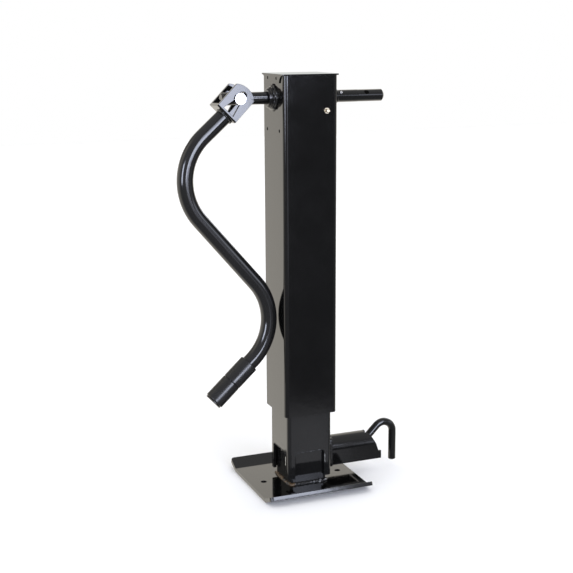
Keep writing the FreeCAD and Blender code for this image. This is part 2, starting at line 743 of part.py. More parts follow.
def ram_head_plate():
    half = RAM_BORE_HALF - HEAD_PLATE_GAP
    corner = RAM_CORNER - TUBE_WALL + PLATE_CORNER_EXTRA
    plate = rounded_block(half, corner, HEAD_PLATE_BOTTOM, HEAD_PLATE_TOP)
    return plate.cut(along_z(NUT_BARREL_RADIUS, HEAD_PLATE_BOTTOM - CUT, HEAD_PLATE_TOP + CUT))


def lead_nut():
    barrel = along_z(NUT_BARREL_RADIUS, NUT_BOTTOM, HEAD_PLATE_TOP + NUT_FLANGE_THICK)
    flange = along_z(NUT_FLANGE_RADIUS, HEAD_PLATE_TOP, HEAD_PLATE_TOP + NUT_FLANGE_THICK)
    return fused(barrel, flange).cut(along_z(SCREW_RADIUS + NUT_GAP, NUT_BOTTOM - CUT, RAM_TOP + FAR))


def hood_section(radius):
    """The hood's arch in the YZ plane: a half circle over straight skirts."""
    return [
        Vec(0, -radius, HOOD_SKIRT_Z),
        Vec(0, -radius, PIN_Z),
        (Vec(0, 0, PIN_Z + radius), Vec(0, radius, PIN_Z)),
        Vec(0, radius, HOOD_SKIRT_Z),
    ]


def pin_hood():
    """An arch of sheet over the lock pin, open below, with a slanted end and a notch for the pin's bend."""
    start = RAM_HALF + HOOD_PLATE_THICK
    length = HOOD_END_X - start
    top = PIN_Z + HOOD_RADIUS + CUT
    low = HOOD_SKIRT_Z - CUT
    bore = HOOD_RADIUS - HOOD_SHEET
    arch = prism(hood_section(HOOD_RADIUS), Vec(length, 0, 0))
    hollow = prism(hood_section(bore), Vec(length + 2 * CUT, 0, 0))
    hollow.translate(Vec(-CUT, 0, 0))
    floor = box(-CUT, length + CUT, -bore, bore, low, HOOD_SKIRT_Z + CUT)
    shell = arch.cut([hollow, floor])
    shell.translate(Vec(start, 0, 0))
    side = [
        Vec(start, -FAR / 2, low),
        Vec(HOOD_END_X, -FAR / 2, low),
        Vec(HOOD_END_X, -FAR / 2, HOOD_LIP_Z),
        Vec(HOOD_LIP_X, -FAR / 2, HOOD_LIP_Z),
        Vec(HOOD_SLANT_X, -FAR / 2, HOOD_SLANT_Z),
        Vec(HOOD_SHOULDER_X, -FAR / 2, HOOD_SHOULDER_Z),
        Vec(HOOD_CREST_X, -FAR / 2, top),
        Vec(start, -FAR / 2, top),
    ]
    notch = box(HOOD_NOTCH_X, FAR, -HOOD_NOTCH_HALF, HOOD_NOTCH_HALF, PIN_Z + HOOD_NOTCH_HALF, FAR)
    return shell.common(prism(side, Vec(0, FAR, 0))).cut(notch)


def hood_mount_plate():
    plate = box(
        RAM_HALF,
        RAM_HALF + HOOD_PLATE_THICK,
        -HOOD_PLATE_HALF,
        HOOD_PLATE_HALF,
        HOOD_PLATE_BOTTOM,
        HOOD_PLATE_TOP,
    )
    along = [e for e in plate.Edges if e.BoundBox.YLength < 1e-6 and e.BoundBox.ZLength < 1e-6]
    plate = plate.makeFillet(HOOD_PLATE_CORNER, along)
    return plate.cut(along_x(GUIDE_RADIUS, 0, FAR, 0, PIN_Z))


def pin_guide_bushing():
    start = RAM_BORE_HALF + 0.1
    ring = along_x(GUIDE_RADIUS, start, GUIDE_END_X, 0, PIN_Z)
    return ring.cut(along_x(PIN_RADIUS + 0.08, 0, FAR, 0, PIN_Z))


def spring_stop_plate():
    shape = prism(hood_section(HOOD_RADIUS - HOOD_SHEET), Vec(SPRING_STOP_THICK, 0, 0))
    shape.translate(Vec(SPRING_STOP_X, 0, 0))
    return shape.cut(along_x(PIN_RADIUS + SPRING_STOP_GAP, 0, FAR, 0, PIN_Z))


def pin_spring():
    start = PIN_WASHER_X + PIN_WASHER_THICK + SPRING_WIRE_RADIUS + 0.15
    end = SPRING_STOP_X - SPRING_WIRE_RADIUS - 0.15
    height = end - start
    helix = Part.makeHelix(height / SPRING_TURNS, height, SPRING_RADIUS)
    wire = Part.Wire([Part.Circle(Vec(SPRING_RADIUS, 0, 0), Y_AXIS, SPRING_WIRE_RADIUS).toShape()])
    coil = Part.Wire(helix.Edges).makePipeShell([wire], True, True)
    coil.rotate(ORIGIN, Y_AXIS, 90)
    coil.translate(Vec(start, 0, PIN_Z))
    return coil


def pipe(radius, path):
    """A round bar swept along a smooth path."""
    start = path.Edges[0].Vertexes[0].Point
    tangent = path.Edges[0].tangentAt(path.Edges[0].FirstParameter)
    section = Part.Wire([Part.Circle(start, tangent, radius).toShape()])
    return path.makePipeShell([section], True, False)


def pull_pin():
    """Straight rod, a rise at 45 degrees, a crook over the top and a straight tail."""
    rise_end = Vec(PIN_BEND_X + PIN_RISE, 0, PIN_Z + PIN_RISE)
    diagonal = math.sqrt(0.5)
    crook = rise_end + Vec(diagonal, 0, -diagonal) * PIN_CROOK_RADIUS
    over = crook + Vec(math.sin(math.radians(22.5)), 0, math.cos(math.radians(22.5))) * PIN_CROOK_RADIUS
    down = crook + Vec(PIN_CROOK_RADIUS, 0, 0)
    bend = 9.0
    before = Vec(PIN_BEND_X - bend, 0, PIN_Z)
    after = Vec(PIN_BEND_X + bend * diagonal, 0, PIN_Z + bend * diagonal)
    bend_radius = bend / math.tan(math.radians(22.5))
    middle_angle = math.radians(22.5)
    centre = before + Vec(0, 0, bend_radius)
    middle = centre + Vec(math.sin(middle_angle), 0, -math.cos(middle_angle)) * bend_radius
    path = Part.Wire([
        Part.makeLine(Vec(PIN_NOSE_X, 0, PIN_Z), before),
        Part.Arc(before, middle, after).toShape(),
        Part.makeLine(after, rise_end),
        Part.Arc(rise_end, over, down).toShape(),
        Part.makeLine(down, Vec(down.x, 0, PIN_TAIL_Z)),
    ])
    rod = pipe(PIN_RADIUS, path)
    nose = [e for e in rod.Edges if abs(e.BoundBox.XMax - PIN_NOSE_X) < 1e-6]
    tail = [e for e in rod.Edges if abs(e.BoundBox.ZMax - PIN_TAIL_Z) < 1e-6]
    rod = rod.makeChamfer(1.2, nose + tail)
    return rod.cut(washer_pin_hole())


def washer_pin_x():
    return PIN_WASHER_X - WASHER_PIN_RADIUS - 0.1


def washer_pin_hole():
    return along_z(WASHER_PIN_RADIUS, PIN_Z - FAR / 8, PIN_Z + FAR / 8, washer_pin_x())


def washer_pin():
    half = WASHER_PIN_LENGTH / 2
    return along_z(WASHER_PIN_RADIUS, PIN_Z - half, PIN_Z + half, washer_pin_x())


def pin_washer():
    ring = along_x(PIN_WASHER_RADIUS, PIN_WASHER_X, PIN_WASHER_X + PIN_WASHER_THICK, 0, PIN_Z)
    return ring.cut(along_x(PIN_RADIUS + 0.1, 0, FAR, 0, PIN_Z))


# --- drop leg and foot --------------------------------------------------------------------------

def drop_leg_tube():
    tube = square_tube(LEG_SIDE, LEG_CORNER, FOOT_THICK, LEG_TOP)
    holes = []
    for k in range(LEG_HOLE_COUNT):
        holes.append(along_x(LEG_HOLE_RADIUS, 0, FAR, 0, PIN_Z + k * LEG_HOLE_PITCH))
    return tube.cut(holes)


def flange_outline(flat):
    """The plate's section towards +Y: bend, outer edge and inside bend."""
    angle = math.radians(FOOT_FLANGE_ANGLE)
    rise = FOOT_FLANGE_REACH * math.tan(angle)
    edge = flat + FOOT_FLANGE_REACH
    return [
        Vec(0, flat, 0),
        Vec(0, edge, rise),
        Vec(0, edge - FOOT_THICK * math.sin(angle), rise + FOOT_THICK * math.cos(angle)),
        Vec(0, flat - FOOT_THICK * math.tan(angle / 2), FOOT_THICK),
    ]


def foot_plate():
    """A flat plate with its front and rear edges bent up."""
    rear = flange_outline(FOOT_FLAT_REAR)
    front = [Vec(0, -p.y, p.z) for p in reversed(flange_outline(FOOT_FLAT_FRONT))]
    plate = prism(rear + front, Vec(FOOT_LEFT + FOOT_RIGHT, 0, 0))
    plate.translate(Vec(-FOOT_LEFT, 0, 0))

    def lengthwise(points):
        chosen = []
        for e in plate.Edges:
            c = e.CenterOfMass
            near = [p for p in points if abs(c.y - p.y) < 0.01 and abs(c.z - p.z) < 0.01]
            if near and e.BoundBox.XLength > FOOT_LEFT:
                chosen.append(e)
        return chosen

    plate = plate.makeFillet(FOOT_BEND_RADIUS, lengthwise([rear[3], front[0]]))
    plate = plate.makeFillet(FOOT_BEND_RADIUS + FOOT_THICK, lengthwise([rear[0], front[3]]))
    rear_zone = FOOT_FLAT_REAR + FOOT_FLANGE_REACH - FOOT_THICK
    front_zone = -FOOT_FLAT_FRONT - FOOT_FLANGE_REACH + FOOT_THICK
    corners = []
    for e in plate.Edges:
        y = e.CenterOfMass.y
        if (y > rear_zone or y < front_zone) and e.BoundBox.XLength < 1e-6 and e.Length < 1.1 * FOOT_THICK:
            corners.append(e)
    plate = plate.makeFillet(FOOT_FLANGE_CORNER, corners)
    holes = [along_z(FOOT_HOLE_RADIUS, -CUT, FOOT_THICK + CUT, x) for x in (-FOOT_HOLE_X, FOOT_HOLE_X)]
    return plate.cut(holes)


# --- folding crank ------------------------------------------------------------------------------

def yoke_point(outward, sideways, y=0.0):
    """A point by its distance from the pin along the yoke's axis (towards the arm) and across it."""
    angle = math.radians(YOKE_ANGLE)
    along = Vec(math.cos(angle), 0, math.sin(angle))
    across = Vec(-math.sin(angle), 0, math.cos(angle))
    return YOKE_PIN + along * outward + across * sideways + Vec(0, y, 0)


def crank_yoke():
    """A U of flat bar: two cheeks with rounded tips and a base, with a keyhole through both cheeks."""
    low = -YOKE_HALF_OUTER
    shoulder = -YOKE_TIP + YOKE_TIP_SAGITTA
    outline = [
        yoke_point(YOKE_BASE_OUTER, -YOKE_HALF_WIDTH, low),
        yoke_point(shoulder, -YOKE_HALF_WIDTH, low),
        (yoke_point(-YOKE_TIP, 0, low), yoke_point(shoulder, YOKE_HALF_WIDTH, low)),
        yoke_point(YOKE_BASE_OUTER, YOKE_HALF_WIDTH, low),
    ]
    block = prism(outline, Vec(0, 2 * YOKE_HALF_OUTER, 0))
    base_edges = []
    for e in block.Edges:
        away = (e.CenterOfMass - YOKE_PIN).dot(yoke_point(1, 0) - YOKE_PIN)
        if away > YOKE_BASE_OUTER - 0.01 and e.BoundBox.YLength < 1e-6:
            base_edges.append(e)
    block = block.makeFillet(YOKE_BEND_RADIUS, base_edges)
    throat = [
        yoke_point(YOKE_BASE_INNER, -FAR / 8, -YOKE_HALF_GAP),
        yoke_point(-FAR / 8, -FAR / 8, -YOKE_HALF_GAP),
        yoke_point(-FAR / 8, FAR / 8, -YOKE_HALF_GAP),
        yoke_point(YOKE_BASE_INNER, FAR / 8, -YOKE_HALF_GAP),
    ]
    neck_start = -KEYHOLE_CENTRE + math.sqrt(KEYHOLE_RADIUS**2 - KEYHOLE_NECK_HALF**2)
    keyhole = [
        yoke_point(YOKE_BASE_INNER, -KEYHOLE_BASE_HALF, -FAR / 8),
        yoke_point(KEYHOLE_NECK_END, -KEYHOLE_NECK_HALF, -FAR / 8),
        yoke_point(neck_start, -KEYHOLE_NECK_HALF, -FAR / 8),
        (
            yoke_point(-KEYHOLE_CENTRE - KEYHOLE_RADIUS, 0, -FAR / 8),
            yoke_point(neck_start, KEYHOLE_NECK_HALF, -FAR / 8),
        ),
        yoke_point(KEYHOLE_NECK_END, KEYHOLE_NECK_HALF, -FAR / 8),
        yoke_point(YOKE_BASE_INNER, KEYHOLE_BASE_HALF, -FAR / 8),
    ]
    cut = block.cut([prism(throat, Vec(0, 2 * YOKE_HALF_GAP, 0)), prism(keyhole, Vec(0, FAR / 4, 0))])
    return lean(cut)


def yoke_pin():
    """Headed pin with a raised boss on the head and a clip groove near the other end."""
    head = -YOKE_HALF_OUTER - YOKE_PIN_PLAY
    boss = head - YOKE_PIN_HEAD_THICK - YOKE_PIN_BOSS_THICK
    parts = [
        along_y(YOKE_PIN_HEAD_RADIUS, YOKE_PIN_X, head - YOKE_PIN_HEAD_THICK, head, SHAFT_Z),
        along_y(YOKE_PIN_BOSS_RADIUS, YOKE_PIN_X, boss, head, SHAFT_Z),
        along_y(YOKE_PIN_RADIUS, YOKE_PIN_X, head, YOKE_HALF_OUTER + YOKE_PIN_TAIL, SHAFT_Z),
    ]
    slack = 0.05
    groove = clip_ring(YOKE_PIN_RADIUS - YOKE_CLIP_DEPTH - slack, YOKE_PIN_RADIUS + CUT, slack)
    return lean(fused(*parts).cut(groove))


def clip_ring(inner, outer, slack):
    """A flat ring about the yoke pin, in the clip's place."""
    y0 = YOKE_HALF_OUTER + YOKE_CLIP_START - slack
    y1 = YOKE_HALF_OUTER + YOKE_CLIP_START + YOKE_CLIP_THICK + slack
    ring = along_y(outer, YOKE_PIN_X, y0, y1, SHAFT_Z)
    return ring.cut(along_y(inner, YOKE_PIN_X, y0 - CUT, y1 + CUT, SHAFT_Z))


def yoke_pin_washer():
    y0 = YOKE_HALF_OUTER + YOKE_PIN_PLAY
    y1 = y0 + YOKE_WASHER_THICK
    ring = along_y(YOKE_PIN_HEAD_RADIUS, YOKE_PIN_X, y0, y1, SHAFT_Z)
    bore = along_y(YOKE_PIN_RADIUS + YOKE_WASHER_GAP, YOKE_PIN_X, y0 - CUT, y1 + CUT, SHAFT_Z)
    return lean(ring.cut(bore))


def yoke_pin_clip():
    ring = clip_ring(YOKE_PIN_RADIUS - YOKE_CLIP_DEPTH, YOKE_PIN_RADIUS + YOKE_CLIP_REACH, 0.0)
    mouth_half = YOKE_CLIP_REACH
    mouth = box(YOKE_PIN_X, YOKE_PIN_X + FAR, 0, FAR, SHAFT_Z - mouth_half, SHAFT_Z + mouth_half)
    return lean(ring.cut(mouth))


def heading(angle):
    return Vec(math.cos(math.radians(angle)), 0, math.sin(math.radians(angle)))


def arm_path(lead_in, tail_length):
    """The arm's centre line of straights and bends. Also its last point and its heading there."""
    here = yoke_point(YOKE_BASE_OUTER, ARM_OFFSET)
    angle = ARM_HEADING
    edges = []
    start = here - heading(angle) * lead_in

    def straight(begin, length):
        end = begin + heading(angle) * length
        edges.append(Part.makeLine(begin, end))
        return end

    def bend(begin, radius, turn):
        side = math.copysign(90.0, turn)
        centre = begin + heading(angle + side) * radius
        middle = centre - heading(angle + side + turn / 2) * radius
        end = centre - heading(angle + side + turn) * radius
        edges.append(Part.Arc(begin, middle, end).toShape())
        return end

    here = straight(start, ARM_FIRST_LENGTH + lead_in)
    here = bend(here, ARM_FIRST_RADIUS, ARM_FIRST_TURN)
    angle += ARM_FIRST_TURN
    here = straight(here, ARM_MIDDLE_LENGTH)
    here = bend(here, ARM_LAST_RADIUS, ARM_LAST_TURN)
    angle += ARM_LAST_TURN
    here = straight(here, tail_length)
    return Part.Wire(edges), here, heading(angle)


def crank_tube():
    lead_in = 3.0
    outside = arm_path(lead_in, ARM_TAIL_LENGTH)[0]
    inside = arm_path(lead_in + CUT, ARM_TAIL_LENGTH + CUT)[0]
    tube = pipe(ARM_RADIUS, outside).cut(pipe(ARM_RADIUS - ARM_WALL, inside))
    above_base = prism(
        [
            yoke_point(YOKE_BASE_OUTER, -FAR / 8, -FAR / 8),
            yoke_point(YOKE_BASE_OUTER, FAR / 8, -FAR / 8),
            yoke_point(-FAR / 8, FAR / 8, -FAR / 8),
            yoke_point(-FAR / 8, -FAR / 8, -FAR / 8),
        ],
        Vec(0, FAR / 4, 0),
    )
    return lean(tube.cut(above_base))


def crank_grip():
    """A sleeve with a groove at its middle and rounded ends, turning freely on the arm."""
    end, direction = arm_path(0, ARM_TAIL_LENGTH)[1:]
    start = end - direction * (GRIP_LENGTH + 0.3)
    sleeve = cylinder(GRIP_RADIUS, start, start + direction * GRIP_LENGTH)
    sleeve = sleeve.makeFillet(GRIP_ROUNDING, [e for e in sleeve.Edges if e.Closed])
    middle = start + direction * (GRIP_LENGTH / 2)
    half = direction * (GRIP_GROOVE / 2)
    core = cylinder(GRIP_RADIUS - GRIP_GROOVE, middle - half, middle + half)
    ring = cylinder(GRIP_RADIUS + CUT, middle - half, middle + half).cut(core)
    bore = cylinder(ARM_RADIUS + GRIP_GAP, start - direction * CUT, start + direction * (GRIP_LENGTH + CUT))
    return lean(sleeve.cut([ring, bore]))


def grip_end_cap():
    """A plug in the arm's open end whose rim keeps the grip on."""
    end, direction = arm_path(0, ARM_TAIL_LENGTH)[1:]
    rim = cylinder(GRIP_CAP_RADIUS, end, end + direction * GRIP_CAP_THICK)
    rim = rim.makeFillet(0.9, [e for e in rim.Edges if e.Closed and (e.CenterOfMass - end).Length > 1.0])
    plug = cylinder(ARM_RADIUS - ARM_WALL, end - direction * GRIP_CAP_PLUG, end + direction)
    return lean(fused(rim, plug))


# --- output ---------------------------------------------------------------------------------------

NODES = [
    outer_tube,
    top_cap,
    cap_rivets,
    shaft_bushing_left,
    shaft_bushing_right,
    bearing_plate,
    bearing_plate_pins,
    grease_fitting,
    thrust_race_upper,
    thrust_balls,
    thrust_ball_cage,
    thrust_race_lower,
    lead_screw,
    screw_gear,
    gear_pin,
    screw_stop_washer,
    stop_washer_pin,
    cross_shaft,
    shaft_end_pin,
    drive_pinion,
    pinion_pin,
    shaft_collar,
    collar_pin,
    yoke_pin,
    yoke_pin_washer,
    yoke_pin_clip,
    ram_tube,
    ram_head_plate,
    lead_nut,
    hood_mount_plate,
    pin_hood,
    pin_guide_bushing,
    spring_stop_plate,
    pin_spring,
    pull_pin,
    pin_washer,
    washer_pin,
    drop_leg_tube,
    foot_plate,
    crank_yoke,
    crank_tube,
    crank_grip,
    grip_end_cap,
]

os.makedirs("parts", exist_ok=True)
for build in NODES:
    shape = build()
    solids = shape.Solids
    solid = solids[0] if len(solids) == 1 else Part.Compound(solids)
    solid.exportStep("parts/" + build.__name__ + ".step")
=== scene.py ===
import json
import math
import random
from collections import namedtuple

import bpy
from mathutils import Matrix, Vector


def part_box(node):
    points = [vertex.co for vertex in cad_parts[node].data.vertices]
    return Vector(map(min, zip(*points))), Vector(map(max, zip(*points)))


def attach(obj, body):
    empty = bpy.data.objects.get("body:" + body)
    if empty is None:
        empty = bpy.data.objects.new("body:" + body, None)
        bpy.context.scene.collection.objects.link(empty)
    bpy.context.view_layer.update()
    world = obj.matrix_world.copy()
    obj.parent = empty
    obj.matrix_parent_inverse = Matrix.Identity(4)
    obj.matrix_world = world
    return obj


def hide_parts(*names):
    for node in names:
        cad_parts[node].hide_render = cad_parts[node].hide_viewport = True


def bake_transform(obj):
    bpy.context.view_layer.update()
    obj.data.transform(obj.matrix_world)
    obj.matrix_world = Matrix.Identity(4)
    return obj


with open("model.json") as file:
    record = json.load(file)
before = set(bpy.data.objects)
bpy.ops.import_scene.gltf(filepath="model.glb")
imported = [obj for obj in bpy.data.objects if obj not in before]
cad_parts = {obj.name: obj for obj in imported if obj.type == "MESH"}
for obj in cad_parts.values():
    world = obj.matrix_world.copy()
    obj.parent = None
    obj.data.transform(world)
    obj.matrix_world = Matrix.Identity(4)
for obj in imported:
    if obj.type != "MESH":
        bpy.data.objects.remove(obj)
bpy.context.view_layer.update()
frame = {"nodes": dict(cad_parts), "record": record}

scene = bpy.context.scene
MM = 0.001
UP_X = Vector((1, 0, 0))
UP_Z = Vector((0, 0, 1))


# --- node graph helpers -------------------------------------------------------------------

class Graph:
    """A small wrapper that adds nodes to a tree and links them in one call."""

    def __init__(self, tree):
        self.tree = tree

    def put(self, socket, value):
        """Link value into the socket, or set it as the socket's value."""
        if isinstance(value, bpy.types.NodeSocket):
            self.tree.links.new(value, socket)
        else:
            socket.default_value = value

    def add(self, kind, settings=None, **inputs):
        """Inputs are named as in Blender with _ for spaces, or i0, i1 and so on by position."""
        node = self.tree.nodes.new(kind)
        for key, value in (settings or {}).items():
            setattr(node, key, value)
        for key, value in inputs.items():
            by_position = key[0] == "i" and key[1:].isdigit()
            name = int(key[1:]) if by_position else key.replace("_", " ")
            self.put(node.inputs[name], value)
        return node

    def math(self, operation, a, b=0.0, clamp=False):
        settings = {"operation": operation, "use_clamp": clamp}
        return self.add("ShaderNodeMath", settings, i0=a, i1=b).outputs[0]

    def ramp(self, value, low, high, to_low=0.0, to_high=1.0, smooth=True):
        """The value carried from (low, high) to (to_low, to_high), held at both ends."""
        settings = {"interpolation_type": "SMOOTHSTEP" if smooth else "LINEAR", "clamp": True}
        node = self.add("ShaderNodeMapRange", settings, i0=value, i1=low, i2=high, i3=to_low, i4=to_high)
        return node.outputs[0]

    def noise(self, vector, scale, detail=2.0, roughness=0.5):
        node = self.add("ShaderNodeTexNoise", Vector=vector, Scale=scale, Detail=detail, Roughness=roughness)
        return node.outputs["Fac"]

    def mix(self, factor, a, b):
        return self.add("ShaderNodeMix", {"data_type": "RGBA"}, i0=factor, i6=a, i7=b).outputs[2]

    def bump(self, height, distance, strength=1.0, **normal):
        inputs = {"Height": height, "Distance": distance, "Strength": strength}
        return self.add("ShaderNodeBump", **inputs, **normal).outputs[0]


def grey(level):
    return (level, level, level, 1.0)


def new_material(name):
    material = bpy.data.materials.new(name)
    material.use_nodes = True
    graph = Graph(material.node_tree)
    shader = material.node_tree.nodes["Principled BSDF"]
    position = graph.add("ShaderNodeTexCoord").outputs["Object"]
    return material, graph, shader, position


def connect(graph, shader, **inputs):
    for key, value in inputs.items():
        graph.put(shader.inputs[key.replace("_", " ")], value)


def edge_mask(graph, radius):
    """1 along sharp edges, 0 on flat faces."""
    soft = graph.add("ShaderNodeBevel", {"samples": 4}, Radius=radius).outputs[0]
    hard = graph.add("ShaderNodeNewGeometry").outputs["Normal"]
    same = graph.add("ShaderNodeVectorMath", {"operation": "DOT_PRODUCT"}, i0=soft, i1=hard)
    return graph.ramp(same.outputs["Value"], 0.995, 0.86)


# --- materials: noise scales are in features per metre, bump heights in metres -----------------

def black_paint(name, level=0.003, roughness=0.07):
    """Sprayed gloss black on steel: orange peel, faint haze, specks of dust and thin paint at edges."""
    material, graph, shader, position = new_material(name)
    haze = graph.noise(position, 14.0, 4.0, 0.6)
    fine = graph.noise(position, 240.0, 3.0, 0.6)
    orange_peel = graph.noise(position, 420.0, 1.5, 0.4)
    sags = graph.noise(position, 60.0, 2.0, 0.5)
    edges = graph.math("MULTIPLY", edge_mask(graph, 0.7 * MM), graph.ramp(fine, 0.50, 0.66), True)
    chips = graph.math("MULTIPLY", edges, 0.35)
    specks = graph.ramp(graph.noise(position, 900.0, 1.0, 0.5), 0.765, 0.81, 0.0, 0.22)
    paint = graph.mix(haze, grey(level * 0.8), grey(level * 1.3))
    bare = (0.10, 0.095, 0.09, 1.0)
    colour = graph.mix(graph.math("ADD", chips, specks, True), paint, bare)
    cloudy = graph.ramp(haze, 0.3, 0.7, roughness * 0.8, roughness * 1.3)
    rough = graph.math("ADD", cloudy, graph.math("MULTIPLY", edges, 0.25))
    normal = graph.bump(orange_peel, 0.012 * MM, Normal=graph.bump(sags, 0.035 * MM))
    connect(graph, shader, Base_Color=colour, Roughness=rough, IOR=1.5, Normal=normal)
    return material


def satin_paint(name, level, roughness):
    """Thinner, drier black paint, as on the ram: it keeps a soft sheen and shows draw lines of the tube."""
    material, graph, shader, position = new_material(name)
    along_z = graph.add("ShaderNodeMapping", Vector=position, Scale=(1.0, 1.0, 0.03)).outputs[0]
    lines = graph.noise(along_z, 900.0, 3.0, 0.6)
    haze = graph.noise(position, 25.0, 4.0, 0.6)
    paint = graph.mix(haze, grey(level * 0.8), grey(level * 1.25))
    rough = graph.ramp(haze, 0.3, 0.7, roughness * 0.85, roughness * 1.2)
    height = graph.math("ADD", graph.math("MULTIPLY", lines, 0.6), graph.noise(position, 380.0, 2.0, 0.5))
    connect(graph, shader, Base_Color=paint, Roughness=rough, IOR=1.5, Normal=graph.bump(height, 0.02 * MM))
    return material


def weld_paint(name, tint_x):
    """Painted weld bead, with heat-tinted brown where the paint is thin, towards x below tint_x."""
    material, graph, shader, position = new_material(name)
    x = graph.add("ShaderNodeSeparateXYZ", Vector=position).outputs[0]
    left = graph.ramp(x, tint_x, tint_x - 6 * MM)
    patches = graph.ramp(graph.noise(position, 160.0, 3.0, 0.6), 0.35, 0.6)
    tint = graph.math("MULTIPLY", left, patches, True)
    dark_brown, light_brown = (0.030, 0.017, 0.008, 1.0), (0.155, 0.098, 0.048, 1.0)
    brown = graph.mix(graph.noise(position, 420.0, 2.0, 0.6), dark_brown, light_brown)
    colour = graph.mix(tint, grey(0.010), brown)
    rough = graph.math("ADD", graph.math("MULTIPLY", tint, 0.25), 0.14)
    normal = graph.bump(graph.noise(position, 700.0, 3.0, 0.6), 0.08 * MM)
    connect(graph, shader, Base_Color=colour, Roughness=rough, Normal=normal)
    return material


def darker(colour, share):
    return tuple(c * share for c in colour[:3]) + (1.0,)


def zinc_plate(name, colour=(0.80, 0.81, 0.84, 1.0), roughness=0.28):
    """Bright zinc: pale metal with a cloudy, slightly crystalline finish."""
    material, graph, shader, position = new_material(name)
    cloud = graph.noise(position, 260.0, 3.0, 0.6)
    cells = graph.add("ShaderNodeTexVoronoi", Vector=position, Scale=900.0).outputs["Distance"]
    tone = graph.mix(cloud, darker(colour, 0.86), colour)
    rough = graph.ramp(cloud, 0.3, 0.7, roughness * 0.8, roughness * 1.3)
    height = graph.math("ADD", cloud, graph.math("MULTIPLY", cells, 0.3))
    normal = graph.bump(height, 0.02 * MM)
    connect(graph, shader, Base_Color=tone, Metallic=1.0, Roughness=rough, Normal=normal)
    return material


def machined_steel(name, colour, roughness):
    """Oiled steel with fine turning marks."""
    material, graph, shader, position = new_material(name)
    marks = graph.noise(position, 1400.0, 2.0, 0.5)
    stain = graph.noise(position, 45.0, 4.0, 0.6)
    tone = graph.mix(stain, darker(colour, 0.6), colour)
    rough = graph.ramp(marks, 0.3, 0.7, roughness * 0.8, roughness * 1.25)
    normal = graph.bump(marks, 0.01 * MM)
    connect(graph, shader, Base_Color=tone, Metallic=1.0, Roughness=rough, Normal=normal)
    return material


def moulded_plastic(name):
    """Semi-gloss black plastic with a fine moulded grain."""
    material, graph, shader, position = new_material(name)
    grain = graph.noise(position, 1300.0, 2.0, 0.6)
    cloud = graph.noise(position, 60.0, 3.0, 0.6)
    tone = graph.mix(cloud, grey(0.006), grey(0.009))
    rough = graph.ramp(cloud, 0.3, 0.7, 0.20, 0.29)
    connect(graph, shader, Base_Color=tone, Roughness=rough, Normal=graph.bump(grain, 0.02 * MM))
    return material


PAINT = black_paint("gloss_black_paint")
PAINT_ARM = black_paint("gloss_black_paint_arm", level=0.007, roughness=0.09)
RAM_PAINT = satin_paint("ram_satin_paint", 0.007, 0.09)
LEG_PAINT = black_paint("leg_gloss_paint", level=0.006, roughness=0.08)
WELD = weld_paint("weld_paint", -1.0)
FOOT_WELD = weld_paint("foot_weld_paint", -22 * MM)
RIM_PAINT = black_paint("rim_paint", level=0.006, roughness=0.12)
ZINC = zinc_plate("bright_zinc")
GREASE_ZINC = zinc_plate("yellow_zinc", (0.66, 0.58, 0.44, 1.0), 0.34)
STEEL = machined_steel("machined_steel", (0.50, 0.50, 0.51, 1.0), 0.32)
SPRING = machined_steel("spring_steel", (0.34, 0.34, 0.36, 1.0), 0.28)
BRONZE = machined_steel("bronze", (0.62, 0.44, 0.22, 1.0), 0.30)
PLASTIC = moulded_plastic("black_plastic")
# Near-black matt finish for the pins and rivets: painted shade, so that they read as deep holes.
HOLE_SHADE_PAINT = satin_paint("painted_hole_shade", 0.002, 0.6)
# Nearly white steel for the window cut edges: bare metal, brightened as a painted highlight.
EDGE_HIGHLIGHT_STEEL = machined_steel("edge_highlight_steel", (0.90, 0.92, 0.94, 1.0), 0.18)

SLOT_MATERIALS = {
    "gloss_black_paint": PAINT,
    "zinc_plate": ZINC,
    "machined_steel": STEEL,
    "spring_steel": SPRING,
    "bronze": BRONZE,
    "black_plastic": PLASTIC,
}
NODE_MATERIALS = {
    "ram_tube": RAM_PAINT,
    "hood_mount_plate": RAM_PAINT,
    "drop_leg_tube": LEG_PAINT,
    "crank_tube": PAINT_ARM,
    "grease_fitting": GREASE_ZINC,
    # the bearing plate pins and cap rivets get the painted hole shade
    "bearing_plate_pins": HOLE_SHADE_PAINT,
    "cap_rivets": HOLE_SHADE_PAINT,
}


# --- finish of the CAD nodes -------------------------------------------------------------------

JOIN_DISTANCE = 0.002 * MM
PLANAR_ANGLE = math.radians(0.2)
EDGE_ROUNDING = 0.45 * MM
EDGE_SHARE_OF_SMALLEST_SIDE = 0.08
SHARP_ANGLE = math.radians(40)
NORMALS_WEIGHT = 80


def finish_node(name, obj, slot):
    """Smooth shading, a small rounded bevel on sharp edges, and the finish of its slot."""
    obj.data.materials.clear()
    obj.data.materials.append(NODE_MATERIALS.get(name, SLOT_MATERIALS[slot]))
    for polygon in obj.data.polygons:
        polygon.use_smooth = True
    join = obj.modifiers.new("join", "WELD")
    join.merge_threshold = JOIN_DISTANCE
    planar = obj.modifiers.new("planar", "DECIMATE")
    planar.decimate_type = "DISSOLVE"
    planar.angle_limit = PLANAR_ANGLE
    low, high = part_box(name)
    bevel = obj.modifiers.new("edge", "BEVEL")
    bevel.width = min(EDGE_ROUNDING, min(high - low) * EDGE_SHARE_OF_SMALLEST_SIDE)
    bevel.segments = 2
    bevel.limit_method = "ANGLE"
    bevel.angle_limit = SHARP_ANGLE
    bevel.use_clamp_overlap = True
    normals = obj.modifiers.new("normals", "WEIGHTED_NORMAL")
    normals.keep_sharp = False
    normals.weight = NORMALS_WEIGHT


def finish_all_nodes():
    for part in frame["record"]["subparts"]:
        finish_node(part["node"], frame["nodes"][part["node"]], part["material_slot"])


# --- pieces shaped here: welds, window edges, spatter and the spring ---------------------------

